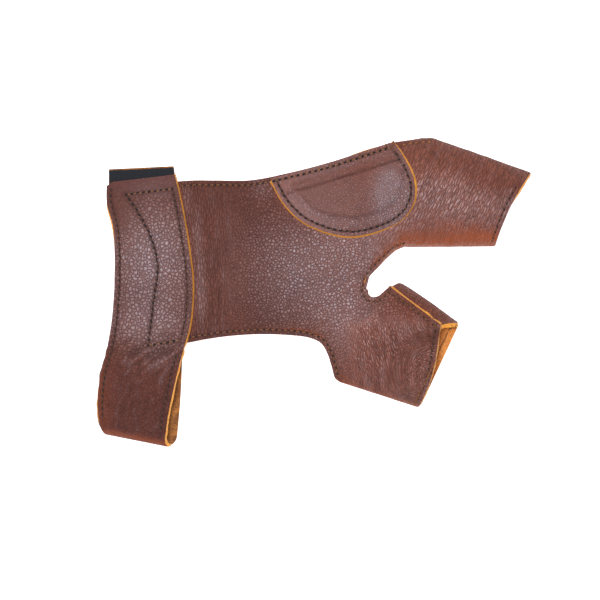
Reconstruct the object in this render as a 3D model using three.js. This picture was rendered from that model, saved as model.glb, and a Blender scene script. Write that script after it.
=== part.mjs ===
// A leather bow-hand glove for archery, lying flat with the back of the hand up.
// One cut piece of leather covers the back of the hand and wraps round the index finger and the thumb.
// A wide strap closes round the wrist with hook-and-loop tape, and a half-moon patch with a
// stiffener under it guards the index knuckle, where the arrow passes.
// Units are millimetres, +Z is up, +X runs from the wrist to the fingertips.

import * as THREE from "three";
import { mergeVertices } from "three/addons/utils/BufferGeometryUtils.js";

// Leather, tape and the gap left between pieces that are sewn together
const leather = 1.4;
const tape = 0.9;
const seat_gap = 0.3;

// Back of the hand, from the strap's edge to the crotch between thumb and finger
const palm_length = 77.2;
const palm_width = 71.3;
const palm_hump = 14;

// Index sleeve
const index_length = 42.2;
const index_end_width = 36.2;
const index_height = 13;
const index_angle = -10.1;
const index_end_slant = 15.8;
const index_end_bow = 1.8;
const index_fold = 3.5;
const flap_seam = 0.36;
const flap_step = 5;
const flap_step_lead = 6.5;

// Thumb sleeve, which stands open on its upper side
const thumb_length = 32.1;
const thumb_end_width = 37.8;
const thumb_height = 12.5;
const thumb_root_drop = 1.5;
const thumb_angle = -26;
const thumb_end_slant = -11.2;
const thumb_end_bow = 1.95;
const thumb_fold = 3.2;
const thumb_ledge = 3.1;
const thumb_lead = 7.4;
const seam_overlap = 8;
const seam_play = 0.15;

// Wrist strap, folded once at its lower end
const strap_width = 32.6;
const strap_overhang = 6.4;
const strap_drop = 46.2;
const loop_height = 10.5;
const tab_relief = 0.9;
const tab_slope = 4.5;
const tab_clear = 2.8;

// Closing tapes, between the two ends of the strap
const tape_width = 28.6;
const hook_length = 20;
const loop_length = 15;
const tape_setback = 0.6;

// Knuckle patch and its stiffener
const patch_depth = 34.1;
const patch_inset = 0.6;
const stiffener_thickness = 0.8;
const patch_slope = 3.4;
const patch_slope_lead = 6.2;

// Sections from the wrist to the crotch. x is a share of palm_length from the strap's edge and
// y a share of palm_width from its middle. z, crown_up and crown_low are shares of palm_hump:
// the heights of the three points, and the swell between them on the finger's and thumb's side.
// under is how far the section follows the strap that lies on it.
const palm_sections = [
  { top: [-0.023, 0.498], mid: [0.057, -0.117], low: [0.023, -0.494], z: [0.6, 0.62, 0.6], crown_up: 0, crown_low: 0, under: 1 },
  { top: [0.142, 0.5], mid: [0.217, -0.117], low: [0.16, -0.469], z: [0.42, 0.44, 0.4], crown_up: 0.02, crown_low: 0.01, under: 0.3 },
  { top: [0.342, 0.501], mid: [0.41, -0.123], low: [0.37, -0.451], z: [0.33, 0.4, 0.27], crown_up: 0.07, crown_low: 0.03, under: 0 },
  { top: [0.57, 0.549], mid: [0.627, -0.136], low: [0.57, -0.457], z: [0.3, 0.45, 0.24], crown_up: 0.16, crown_low: 0.07, under: 0 },
  { top: [0.798, 0.614], mid: [0.815, -0.154], low: [0.684, -0.475], z: [0.3, 0.51, 0.24], crown_up: 0.28, crown_low: 0.13, under: 0 },
  { top: [0.923, 0.657], mid: [0.917, -0.164], low: [0.746, -0.509], z: [0.3, 0.52, 0.25], crown_up: 0.34, crown_low: 0.17, under: 0 },
  { top: [1.037, 0.698], mid: [0.999, -0.167], low: [0.786, -0.586], z: [0.29, 0.5, 0.26], crown_up: 0.38, crown_low: 0.2, under: 0 },
];

// The hidden wrist end of the same leather, sewn under the strap. x is a share of strap_width.
const tab_section = { top: [-1.01, 0.444], mid: [-0.473, -0.043], low: [-0.595, -0.549] };

// Sections from the crotch to the root of each sleeve, in the same shares as the palm's
const index_web = [
  { top: [1.105, 0.722], low: [1.017, -0.108] },
  { top: [1.174, 0.74], low: [1.066, -0.046] },
  { top: [1.242, 0.752], low: [1.128, 0.022] },
  { top: [1.311, 0.763], low: [1.179, 0.068] },
  { top: [1.379, 0.764], low: [1.225, 0.086] },
];
const thumb_web = [
  { top: [1.005, -0.198], low: [0.794, -0.617] },
  { top: [1.028, -0.218], low: [0.803, -0.654] },
  { top: [1.066, -0.214], low: [0.811, -0.691] },
  { top: [1.1, -0.185], low: [0.821, -0.722] },
  { top: [1.134, -0.154], low: [0.843, -0.744] },
];

// Strap sections: x is a share of strap_width from its middle line, drop a share of strap_length
// from its top. The front half runs down to the fold, and the back half up again.
const strap_front = [
  { left: [-0.469, 0.071], right: [0.45, 0.037] },
  { left: [-0.466, 0.132], right: [0.531, 0.125] },
  { left: [-0.385, 0.21], right: [0.595, 0.214] },
  { left: [-0.351, 0.299], right: [0.646, 0.302] },
  { left: [-0.351, 0.388], right: [0.689, 0.391] },
  { left: [-0.365, 0.477], right: [0.692, 0.48] },
  { left: [-0.399, 0.569], right: [0.655, 0.569] },
  { left: [-0.459, 0.655], right: [0.574, 0.651] },
  { left: [-0.534, 0.726], right: [0.496, 0.726] },
  { left: [-0.578, 0.804], right: [0.427, 0.804] },
  { left: [-0.581, 0.868], right: [0.365, 0.883] },
  { left: [-0.565, 0.907], right: [0.327, 0.954] },
];
const strap_back = [
  { left: [-0.473, 0.912], right: [0.462, 0.961] },
  { left: [-0.466, 0.851], right: [0.5, 0.851] },
  { left: [-0.446, 0.762], right: [0.52, 0.762] },
  { left: [-0.419, 0.673], right: [0.534, 0.673] },
  { left: [-0.378, 0.566], right: [0.581, 0.566] },
  { left: [-0.338, 0.441], right: [0.622, 0.441] },
  { left: [-0.324, 0.335], right: [0.622, 0.335] },
  { left: [-0.338, 0.246], right: [0.581, 0.246] },
  { left: [-0.392, 0.157], right: [0.527, 0.157] },
  { left: [-0.439, 0.085], right: [0.473, 0.078] },
  { left: [-0.442, 0.012], right: [0.43, 0.001] },
];

// Patch outline below its top edge: along is a share of the top edge's chord, depth of patch_depth
const patch_curve = [
  { along: 0.047, depth: 0.33 },
  { along: 0.127, depth: 0.586 },
  { along: 0.26, depth: 0.79 },
  { along: 0.463, depth: 0.965 },
  { along: 0.7, depth: 1.0 },
  { along: 0.9, depth: 0.935 },
  { along: 1.01, depth: 0.8 },
  { along: 1.065, depth: 0.6 },
  { along: 1.065, depth: 0.38 },
  { along: 1.035, depth: 0.165 },
];
const stiffener_top = [
  { along: 0.175, depth: 0.19 },
  { along: 0.96, depth: 0.19 },
];
const stiffener_curve = [
  { along: 0.25, depth: 0.43 },
  { along: 0.33, depth: 0.58 },
  { along: 0.45, depth: 0.69 },
  { along: 0.65, depth: 0.77 },
  { along: 0.84, depth: 0.72 },
  { along: 0.95, depth: 0.55 },
  { along: 0.985, depth: 0.35 },
];

// Where the patch's top edge begins and ends along the panel's top edge, as shares of palm_length
const patch_from = 0.452;
const patch_to = 1.16;

// Sizes that follow from those above
const strap_length = strap_overhang + palm_width + strap_drop;
const strap_top = palm_width / 2 + strap_overhang;
const strap_middle = -0.662 * strap_width;
const stack_height = 3 * leather + 2 * tape + 4 * seat_gap;

// Mesh steps
const finger_columns = 14;
const thumb_columns = 10;
const steps_per_section = 2;
const sleeve_steps = 9;
const fold_steps = 4;
const strap_columns = 13;

const lerp = THREE.MathUtils.lerp;
const smooth = (x) => THREE.MathUtils.smoothstep(x, 0, 1);
const clamp = THREE.MathUtils.clamp;
const radians = THREE.MathUtils.degToRad;
const point = (x, y, z = 0) => new THREE.Vector3(x, y, z);
const turned = (degrees) => point(Math.cos(radians(degrees)), Math.sin(radians(degrees)));

// Shares from 0 to 1, closer together at both ends
const eased = (count) =>
  Array.from({ length: count + 1 }, (_, i) => (1 - Math.cos((Math.PI * i) / count)) / 2);

const evenly = (count) => Array.from({ length: count + 1 }, (_, i) => i / count);

// Sheets

// Joins rows of points into sections that pass smoothly through each row
function loft(rows, steps) {
  const columns = rows[0].map((_, j) => new THREE.CatmullRomCurve3(rows.map((row) => row[j])));
  const count = (rows.length - 1) * steps;
  return evenly(count).map((t) => columns.map((curve) => curve.getPoint(t)));
}

// Joins grids of points into one open surface. Its outer face is on the left of the way from
// a row to the next, seen along the row.
function skin(grids) {
  const corners = [];
  for (const grid of grids)
    for (let i = 0; i + 1 < grid.length; i++)
      for (let j = 0; j + 1 < grid[i].length; j++) {
        const [a, b, c, d] = [grid[i][j], grid[i][j + 1], grid[i + 1][j], grid[i + 1][j + 1]];
        corners.push(a, b, c, c, b, d);
      }
  const outer = mergeVertices(new THREE.BufferGeometry().setFromPoints(corners), 1e-3);
  const faces = [];
  for (let i = 0; i < outer.index.count; i += 3) {
    const face = [0, 1, 2].map((k) => outer.index.getX(i + k));
    if (new Set(face).size === 3) faces.push(...face);
  }
  outer.setIndex(faces);
  outer.computeVertexNormals();
  return outer;
}

// Closes an open surface into a sheet of the given thickness, whose second face lies inside it
function sheet(outer, thickness) {
  const { position, normal } = outer.attributes;
  const count = position.count;
  const points = [];
  for (const depth of [0, thickness])
    for (let i = 0; i < count; i++) {
      const inward = new THREE.Vector3().fromBufferAttribute(normal, i).multiplyScalar(-depth);
      points.push(new THREE.Vector3().fromBufferAttribute(position, i).add(inward));
    }
  const faces = [];
  const directed = new Set();
  for (let i = 0; i < outer.index.count; i += 3) {
    const [a, b, c] = [0, 1, 2].map((k) => outer.index.getX(i + k));
    faces.push(a, b, c, a + count, c + count, b + count);
    for (const [p, q] of [[a, b], [b, c], [c, a]]) directed.add(p * count + q);
  }
  for (const key of directed) {
    const p = Math.floor(key / count);
    const q = key % count;
    if (directed.has(q * count + p)) continue;
    faces.push(q, p, p + count, q, p + count, q + count);
  }
  const closed = new THREE.BufferGeometry().setFromPoints(points);
  closed.setIndex(faces);
  closed.computeVertexNormals();
  return closed;
}

// Strap

const strap_point = ([x, drop], z) =>
  point(strap_middle + x * strap_width, strap_top - drop * strap_length, z);

// Height of the strap's upper face over the panel's tab: low over the tapes, then the full loop
function strap_height(y) {
  const drop = (strap_top - y) / strap_length;
  return lerp(stack_height, loop_height, smooth(drop / 0.42));
}

const palm_point = ([x, y], z = 0) => point(x * palm_length, y * palm_width, z);
const tab_point = ([x, y]) => point(x * strap_width, y * palm_width);

// The hidden edge of the tab, from its top corner to its lower one
const tab_edge = new THREE.CatmullRomCurve3(
  [tab_section.top, tab_section.mid, tab_section.low].map(tab_point),
);
const tab_rim = evenly(24).map((t) => tab_edge.getPoint(t));

// 1 where the strap lies on the tab, easing to 0 beyond the tab's edge
function over_tab(x, y) {
  const nearest = tab_rim.reduce((a, b) => (Math.abs(a.y - y) < Math.abs(b.y - y) ? a : b));
  const side = smooth((x - nearest.x + tab_clear + tab_slope) / tab_slope);
  const below = smooth((y - tab_rim[24].y + tab_clear + tab_slope) / tab_slope);
  return side * below;
}

function strap_surface() {
  const across = evenly(strap_columns);
  const station = (section, height) =>
    across.map((share) => strap_point(section.left).lerp(strap_point(section.right), share).setZ(height));
  const front = loft(strap_front.map((s) => station(s, 0)), 3);
  for (const row of front)
    for (const p of row)
      p.z = strap_height(p.y) - tab_relief * (1 - over_tab(p.x, p.y)) * smooth((strap_height(p.y) - stack_height) * 2);
  const back = loft(strap_back.map((s) => station(s, 0)), 2);

  const before = front[front.length - 1];
  const after = back[0];
  const outward = point(before[0].y - before[strap_columns].y, before[strap_columns].x - before[0].x)
    .normalize()
    .negate();
  const bend = [];
  const turns = 10;
  for (let k = 1; k < turns; k++) {
    const angle = (Math.PI * k) / turns;
    bend.push(
      before.map((p, j) =>
        p
          .clone()
          .lerp(after[j], (1 - Math.cos(angle)) / 2)
          .addScaledVector(outward, (loop_height / 2) * Math.sin(angle)),
      ),
    );
  }
  return [...front, ...bend, ...back].map((row) => row.reverse());
}

// Hand panel with both sleeves

// Height over a sleeve's width: shares u from -1 to 1, upright at both folds
const arch = (u) => Math.pow(Math.max(0, 1 - u * u), 0.62);

function palm_row(section) {
  const heights = section.z.map((share) => share * palm_hump);
  const curve = new THREE.CatmullRomCurve3([
    palm_point(section.top, heights[0]),
    palm_point(section.mid, heights[1]),
    palm_point(section.low, heights[2]),
  ]);
  const swell = (share, crown) => {
    const u = 2 * share - 1;
    return crown * palm_hump * (1 - u * u) ** 2;
  };
  const raised = (t, lift) => {
    const p = curve.getPoint(t);
    p.z += lift;
    return p.setZ(lerp(p.z, strap_height(p.y) - leather - seat_gap, section.under));
  };
  const upper = eased(finger_columns).map((s) => raised(s / 2, swell(s, section.crown_up)));
  const lower = eased(thumb_columns).map((s) => raised(0.5 + s / 2, swell(s, section.crown_low)));
  return { upper, lower };
}

function tab_row() {
  const laid = (t) => {
    const p = tab_edge.getPoint(t);
    return p.setZ(strap_height(p.y) - leather - seat_gap);
  };
  return {
    upper: eased(finger_columns).map((s) => laid(s / 2)),
    lower: eased(thumb_columns).map((s) => laid(0.5 + s / 2)),
  };
}

// Rows from the crotch to a sleeve's root. The crotch's bow and heights turn into the sleeve's own.
function web_rows(web, columns, start, root_height) {
  const shares = eased(columns);
  const bow = start.map((p, j) => p.clone().sub(start[0].clone().lerp(start[columns], shares[j])));
  return web.map((section, k) => {
    const top = palm_point(section.top);
    const low = palm_point(section.low);
    const weight = smooth((k + 1) / web.length);
    return shares.map((s, j) =>
      top
        .clone()
        .lerp(low, s)
        .addScaledVector(bow[j], 1 - weight)
        .setZ(lerp(start[j].z, root_height(s), weight)),
    );
  });
}

const index_front = (height) => (s) => index_fold + (height - index_fold) * arch(2 * s - 1);
const thumb_front = (height) => (rise) => thumb_fold + (height - thumb_fold) * arch(1 - rise);

// A sleeve's frame at a share of its length: its two sides in plan and the way out of it
function sleeve_frame(root_top, root_low, length, angle, end_width, slant, share) {
  const middle = root_top.clone().lerp(root_low, 0.5);
  const end_middle = middle.clone().addScaledVector(turned(angle), length);
  const half = turned(90 + angle - slant).multiplyScalar(end_width / 2);
  const top = root_top.clone().lerp(end_middle.clone().add(half), share);
  const low = root_low.clone().lerp(end_middle.clone().sub(half), share);
  const up = top.clone().sub(low).normalize();
  return { top, low, up, out: point(up.y, -up.x), width: top.distanceTo(low) };
}

// Quarter bends under a fold, from its side at height radius down to the flat
const bend_down = (radius) =>
  evenly(fold_steps)
    .slice(1)
    .map((s) => {
      const a = (Math.PI / 2) * s;
      return { inset: radius * (1 - Math.cos(a)), z: radius * (1 - Math.sin(a)) };
    });

function index_ring(root_top, root_low) {
  return evenly(sleeve_steps).map((share) => {
    const f = sleeve_frame(root_top, root_low, index_length, index_angle, index_end_width, index_end_slant, share);
    const height = lerp(palm_hump, index_height, share);
    const bow = (u) => -index_end_bow * share * (1 - u * u);
    const at = (lateral, z) => {
      const u = (2 * lateral) / f.width - 1;
      return f.low.clone().addScaledVector(f.up, lateral).addScaledVector(f.out, bow(u)).setZ(z);
    };
    const front = eased(finger_columns).map((s) => at(f.width * (1 - s), index_front(height)(s)));
    const edge = f.width * flap_seam;
    const upper_flap = [
      ...bend_down(index_fold).map((b) => at(f.width - b.inset, b.z)),
      ...evenly(5).slice(1).map((s) => at(lerp(f.width - index_fold, edge, s), 0)),
    ];
    const step_start = edge - flap_step_lead;
    const raised = leather + seat_gap;
    const lower_flap = [
      ...bend_down(index_fold).map((b) => at(b.inset, b.z)),
      ...evenly(2).slice(1).map((s) => at(lerp(index_fold, step_start, s), 0)),
      at(step_start + flap_step / 2, raised / 2),
      at(step_start + flap_step, raised),
      ...evenly(3).slice(1).map((s) => at(lerp(step_start + flap_step, edge + seam_overlap, s), raised)),
    ];
    return [...upper_flap.reverse(), ...front, ...lower_flap];
  });
}

function thumb_ring(root_top, root_low) {
  return evenly(sleeve_steps - 2).map((share) => {
    const f = sleeve_frame(root_top, root_low, thumb_length, thumb_angle, thumb_end_width, thumb_end_slant, share);
    const height = lerp(thumb_height - thumb_root_drop, thumb_height, share);
    const full = f.width + thumb_ledge * (1 + 0.4 * Math.sin(Math.PI * Math.sqrt(share)));
    const crest = f.width - 1;
    const lead = thumb_lead * lerp(0.34, 1, share);
    const front = eased(thumb_columns).map((s) => {
      const bow = thumb_end_bow * share * Math.sin(Math.PI * Math.pow(s, 1.3));
      return f.top.clone().lerp(f.low, s).addScaledVector(f.out, bow).setZ(thumb_front(height)(1 - s));
    });
    const at = (lateral, z, reach) =>
      f.low.clone().addScaledVector(f.up, lateral).addScaledVector(f.out, lead * reach).setZ(z);
    const floor = (lateral, z) => at(lateral, z, lateral / full);
    const under = (lateral) => thumb_front(height)(lateral / f.width) - leather - seat_gap - seam_play;
    const flap = [
      ...bend_down(thumb_fold).map((b) => floor(b.inset, b.z)),
      ...evenly(7).slice(1).map((s) => floor(lerp(thumb_fold, full - thumb_fold, s), 0)),
      ...bend_down(thumb_fold)
        .reverse()
        .slice(1)
        .map((b) => floor(full - b.inset, b.z)),
      floor(full, thumb_fold),
      ...evenly(5).slice(1).map((s) => {
        const a = (Math.PI / 2) * s;
        const lateral = full - (full - crest) * (1 - Math.cos(a));
        return at(lateral, lerp(thumb_fold, under(crest), Math.sin(a)), Math.cos(a));
      }),
      ...evenly(3).slice(1).map((s) => {
        const lateral = crest - seam_overlap * s;
        return at(lateral, under(lateral), 0);
      }),
    ];
    return [...front, ...flap];
  });
}

function hand_surface() {
  const palm = palm_sections.map(palm_row);
  const tab = tab_row();
  const crotch = palm[palm.length - 1];
  const index_rows = web_rows(index_web, finger_columns, crotch.upper, index_front(palm_hump));
  const thumb_rows = web_rows(thumb_web, thumb_columns, crotch.lower, (s) =>
    thumb_front(thumb_height - thumb_root_drop)(1 - s),
  );
  const upper = loft([tab.upper, ...palm.map((row) => row.upper), ...index_rows], steps_per_section);
  const lower = loft([tab.lower, ...palm.map((row) => row.lower), ...thumb_rows], steps_per_section);
  for (let i = 0; i <= palm.length * steps_per_section; i++) {
    const shared = upper[i][finger_columns].clone().lerp(lower[i][0], 0.5);
    upper[i][finger_columns].copy(shared);
    lower[i][0].copy(shared);
  }
  for (const row of [...upper, ...lower])
    for (const p of row) {
      const covered = smooth((0.03 * palm_length - p.x) / 2);
      p.z = lerp(p.z, strap_height(p.y) - leather - seat_gap, covered);
    }
  const index_root = upper[upper.length - 1];
  const thumb_root = lower[lower.length - 1];
  const flat = (p) => point(p.x, p.y);
  return [
    upper,
    lower,
    index_ring(flat(index_root[0]), flat(index_root[finger_columns])),
    thumb_ring(flat(thumb_root[0]), flat(thumb_root[thumb_columns])),
  ];
}

// Knuckle patch and stiffener, laid on the panel

const leather_brown = { color: 0x6f4038, roughness: 0.5, metalness: 0 };

function piece(name, geometry, finish) {
  const mesh = new THREE.Mesh(geometry, new THREE.MeshStandardMaterial(finish));
  mesh.name = name;
  return mesh;
}

const hand_skin = skin(hand_surface());
const hand_panel = piece("hand_panel", sheet(hand_skin, leather), leather_brown);

// Lays a point on the panel's upper face, found with a ray from above, and lifts it off the leather
const ray = new THREE.Raycaster();
const panel_face = new THREE.Mesh(hand_skin);
function lifted(p, height) {
  ray.set(point(p.x, p.y, 5 * palm_hump), point(0, 0, -1));
  const [hit] = ray.intersectObject(panel_face);
  return hit.point.addScaledVector(hit.normal, height);
}

const top_rail = new THREE.CatmullRomCurve3(
  [...palm_sections, ...index_web].map((section) => palm_point(section.top)),
);
const top_points = top_rail.getPoints(120);

// A point on the panel's top edge at a share of palm_length, drawn in from the edge
function top_edge(share) {
  const x = share * palm_length;
  const k = top_points.findIndex((p) => p.x >= x);
  const [a, b] = [top_points[k - 1], top_points[k]];
  const p = a.clone().lerp(b, (x - a.x) / (b.x - a.x));
  return p.addScaledVector(point(b.y - a.y, a.x - b.x).normalize(), patch_inset);
}

const patch_left = top_edge(patch_from);
const patch_right = top_edge(patch_to);
const chord = patch_right.clone().sub(patch_left);
const patch_down = point(chord.y, -chord.x).normalize();
const on_patch = ({ along, depth }) =>
  patch_left.clone().addScaledVector(chord, along).addScaledVector(patch_down, depth * patch_depth);

const patch_rim = new THREE.CatmullRomCurve3([patch_left, ...patch_curve.map(on_patch), patch_right]);
const stiffener_rim = new THREE.CatmullRomCurve3([
  on_patch(stiffener_top[0]),
  ...stiffener_curve.map(on_patch),
  on_patch(stiffener_top[1]),
]);
const stiffener_outline = stiffener_rim.getSpacedPoints(40);

// Distance of a point from the stiffener's outline: positive inside it, negative outside
function inside_stiffener(p) {
  let nearest = Infinity;
  let inside = false;
  stiffener_outline.forEach((a, i) => {
    const b = stiffener_outline[(i + 1) % stiffener_outline.length];
    const side = new THREE.Line3(a, b).closestPointToPoint(p, true, point(0, 0));
    nearest = Math.min(nearest, side.distanceTo(p));
    const crosses = a.y > p.y !== b.y > p.y;
    if (crosses && p.x < a.x + ((p.y - a.y) * (b.x - a.x)) / (b.y - a.y)) inside = !inside;
  });
  return inside ? nearest : -nearest;
}

// Rows between two rails of points, each laid over the panel at its own height
function laid_grid(above, below, columns, height) {
  return above.map((a, i) =>
    evenly(columns).map((s) => {
      const p = a.clone().lerp(below[i], s);
      return lifted(p, height(p));
    }),
  );
}

function patch_surface() {
  const steps = eased(30);
  const rim = steps.map((t) => patch_rim.getPointAt(t));
  const top = steps.map((t) => top_edge(lerp(patch_from, patch_to, t)));
  const raised = stiffener_thickness + seat_gap;
  return laid_grid(top, rim, 12, (p) => {
    const cover = smooth((inside_stiffener(p) + patch_slope_lead) / patch_slope);
    return seat_gap + leather + raised * cover;
  });
}

function stiffener_surface() {
  const steps = eased(18);
  const rim = steps.map((t) => stiffener_rim.getPointAt(t));
  const [from, to] = stiffener_top.map(on_patch);
  const top = steps.map((t) => from.clone().lerp(to, t));
  return laid_grid(top, rim, 6, () => seat_gap + stiffener_thickness);
}

// Tapes: flat strips that lie on the back half's end, one on the other

function tape_strip(from_drop, length, height) {
  const end = strap_back[strap_back.length - 1];
  const left = strap_point(end.left);
  const right = strap_point(end.right);
  const along = right.clone().sub(left).normalize();
  const down = point(along.y, -along.x);
  const middle = left.clone().lerp(right, 0.5).addScaledVector(down, from_drop);
  const corner = (side, drop) =>
    middle
      .clone()
      .addScaledVector(along, (side * tape_width) / 2)
      .addScaledVector(down, drop);
  const outline = new THREE.Shape([corner(-1, 0), corner(-1, length), corner(1, length), corner(1, 0)]);
  const strip = new THREE.ExtrudeGeometry(outline, { depth: tape, bevelEnabled: false });
  return strip.translate(0, 0, height);
}

const hook_height = leather + seat_gap;
const loop_tape_height = hook_height + tape + seat_gap;
const loop_tape_drop = strap_overhang;

const glove = new THREE.Group();
glove.name = "archery_glove";
glove.add(
  hand_panel,
  piece("knuckle_patch", sheet(skin([patch_surface()]), leather), leather_brown),
  piece("knuckle_stiffener", sheet(skin([stiffener_surface()]), stiffener_thickness), {
    color: 0xc9843f,
    roughness: 0.8,
    metalness: 0,
  }),
  piece("wrist_strap", sheet(skin([strap_surface()]), leather), leather_brown),
  piece("hook_tape", tape_strip(tape_setback, hook_length, hook_height), {
    color: 0x1f1f22,
    roughness: 0.95,
    metalness: 0,
  }),
  piece("loop_tape", tape_strip(loop_tape_drop, loop_length, loop_tape_height), {
    color: 0x1f1f22,
    roughness: 0.95,
    metalness: 0,
  }),
);

// The part's origin lies under the middle of the finished glove, on the surface it rests on
const bounds = new THREE.Box3().setFromObject(glove);
const middle = bounds.getCenter(new THREE.Vector3());
glove.position.set(-middle.x, -middle.y, -bounds.min.z);

export default glove;
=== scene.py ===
"""Leather bow-hand glove for archery, lying flat with the back of the hand up.

Every sheet of leather is built as a fine grid over the same sections as the solids, pressed in along
its seams and creased where it bends, and then thickened into grain side, flesh side and cut edge.
Lengths are in millimetres until a mesh is made.
"""

import math
import random

import bpy
import numpy as np
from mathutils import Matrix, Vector, noise
from mathutils.bvhtree import BVHTree
from mathutils.kdtree import KDTree


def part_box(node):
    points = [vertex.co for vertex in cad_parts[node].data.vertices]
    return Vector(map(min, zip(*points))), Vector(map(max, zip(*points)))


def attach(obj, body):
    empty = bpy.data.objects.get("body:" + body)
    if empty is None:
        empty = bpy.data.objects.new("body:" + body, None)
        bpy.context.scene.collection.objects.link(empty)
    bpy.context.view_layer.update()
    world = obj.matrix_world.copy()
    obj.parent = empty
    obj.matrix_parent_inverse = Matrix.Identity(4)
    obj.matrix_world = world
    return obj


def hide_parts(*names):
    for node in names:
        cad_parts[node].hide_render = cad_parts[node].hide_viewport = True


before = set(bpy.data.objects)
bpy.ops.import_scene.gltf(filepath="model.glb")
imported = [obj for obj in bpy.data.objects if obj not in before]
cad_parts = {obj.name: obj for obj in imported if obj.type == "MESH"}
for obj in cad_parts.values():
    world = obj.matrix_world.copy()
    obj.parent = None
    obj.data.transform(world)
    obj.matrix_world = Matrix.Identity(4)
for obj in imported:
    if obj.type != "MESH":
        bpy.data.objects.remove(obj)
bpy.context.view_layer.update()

MM = 0.001

# Sizes of the leather, the same as the solids'

leather = 1.4
tape = 0.9
seat_gap = 0.3

palm_length = 77.2
palm_width = 71.3
palm_hump = 14

index_length = 42.2
index_end_width = 36.2
index_height = 13
index_angle = -10.1
index_end_slant = 15.8
index_end_bow = 1.8
index_fold = 3.5
flap_seam = 0.36
flap_step = 5
flap_step_lead = 6.5

thumb_length = 32.1
thumb_end_width = 37.8
thumb_height = 12.5
thumb_root_drop = 1.5
thumb_angle = -26
thumb_end_slant = -11.2
thumb_end_bow = 1.95
thumb_fold = 3.2
thumb_ledge = 3.1
thumb_lead = 7.4
seam_overlap = 8
seam_play = 0.15

strap_width = 32.6
strap_overhang = 6.4
strap_drop = 46.2
loop_height = 10.5
tab_relief = 0.9
tab_slope = 4.5
tab_clear = 2.8

tape_width = 28.6
hook_length = 20
loop_length = 15
tape_setback = 0.6

patch_depth = 34.1
patch_inset = 0.6
stiffener_thickness = 0.8

strap_length = strap_overhang + palm_width + strap_drop
strap_top = palm_width / 2 + strap_overhang
strap_middle = -0.662 * strap_width
stack_height = 3 * leather + 2 * tape + 4 * seat_gap

# Sections of the back of the hand, from the wrist to the crotch. Each has its top, middle and low
# points as shares of palm_length and palm_width, their heights and the swell of its two halves as
# shares of palm_hump, and how far the strap holds it down.
palm_sections = [
    ((-0.023, 0.498), (0.057, -0.117), (0.023, -0.494), (0.6, 0.62, 0.6), (0, 0), 1),
    ((0.142, 0.5), (0.217, -0.117), (0.16, -0.469), (0.42, 0.44, 0.4), (0.02, 0.01), 0.3),
    ((0.342, 0.501), (0.41, -0.123), (0.37, -0.451), (0.33, 0.4, 0.27), (0.07, 0.03), 0),
    ((0.57, 0.549), (0.627, -0.136), (0.57, -0.457), (0.3, 0.45, 0.24), (0.16, 0.07), 0),
    ((0.798, 0.614), (0.815, -0.154), (0.684, -0.475), (0.3, 0.51, 0.24), (0.28, 0.13), 0),
    ((0.923, 0.657), (0.917, -0.164), (0.746, -0.509), (0.3, 0.52, 0.25), (0.34, 0.17), 0),
    ((1.037, 0.698), (0.999, -0.167), (0.786, -0.586), (0.29, 0.5, 0.26), (0.38, 0.2), 0),
]
tab_section = [(-1.01, 0.444), (-0.473, -0.043), (-0.595, -0.549)]
index_web = [
    ((1.105, 0.722), (1.017, -0.108)),
    ((1.174, 0.74), (1.066, -0.046)),
    ((1.242, 0.752), (1.128, 0.022)),
    ((1.311, 0.763), (1.179, 0.068)),
    ((1.379, 0.764), (1.225, 0.086)),
]
thumb_web = [
    ((1.005, -0.198), (0.794, -0.617)),
    ((1.028, -0.218), (0.803, -0.654)),
    ((1.066, -0.214), (0.811, -0.691)),
    ((1.1, -0.185), (0.821, -0.722)),
    ((1.134, -0.154), (0.843, -0.744)),
]

# Strap sections, each from its left to its right edge: shares of strap_width and strap_length
strap_front = [
    ((-0.469, 0.071), (0.45, 0.037)),
    ((-0.466, 0.132), (0.531, 0.125)),
    ((-0.385, 0.21), (0.595, 0.214)),
    ((-0.351, 0.299), (0.646, 0.302)),
    ((-0.351, 0.388), (0.689, 0.391)),
    ((-0.365, 0.477), (0.692, 0.48)),
    ((-0.399, 0.569), (0.655, 0.569)),
    ((-0.459, 0.655), (0.574, 0.651)),
    ((-0.534, 0.726), (0.496, 0.726)),
    ((-0.578, 0.804), (0.427, 0.804)),
    ((-0.581, 0.868), (0.365, 0.883)),
    ((-0.565, 0.907), (0.327, 0.954)),
]
strap_back = [
    ((-0.473, 0.912), (0.462, 0.961)),
    ((-0.466, 0.851), (0.5, 0.851)),
    ((-0.446, 0.762), (0.52, 0.762)),
    ((-0.419, 0.673), (0.534, 0.673)),
    ((-0.378, 0.566), (0.581, 0.566)),
    ((-0.338, 0.441), (0.622, 0.441)),
    ((-0.324, 0.335), (0.622, 0.335)),
    ((-0.338, 0.246), (0.581, 0.246)),
    ((-0.392, 0.157), (0.527, 0.157)),
    ((-0.439, 0.085), (0.473, 0.078)),
    ((-0.442, 0.012), (0.43, 0.001)),
]

# Patch and stiffener outlines: shares along the patch's top edge and of patch_depth below it
patch_curve = [
    (0.047, 0.34), (0.127, 0.6), (0.26, 0.815), (0.463, 1.0), (0.7, 1.035),
    (0.9, 0.965), (1.01, 0.82), (1.065, 0.61), (1.065, 0.38), (1.035, 0.165),
]
stiffener_top = [(0.175, 0.19), (0.96, 0.19)]
stiffener_curve = [
    (0.25, 0.43), (0.33, 0.58), (0.45, 0.69), (0.65, 0.77), (0.84, 0.72), (0.95, 0.55), (0.985, 0.35),
]
patch_from = 0.452
patch_to = 1.16

# Sizes that only the look needs

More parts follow.
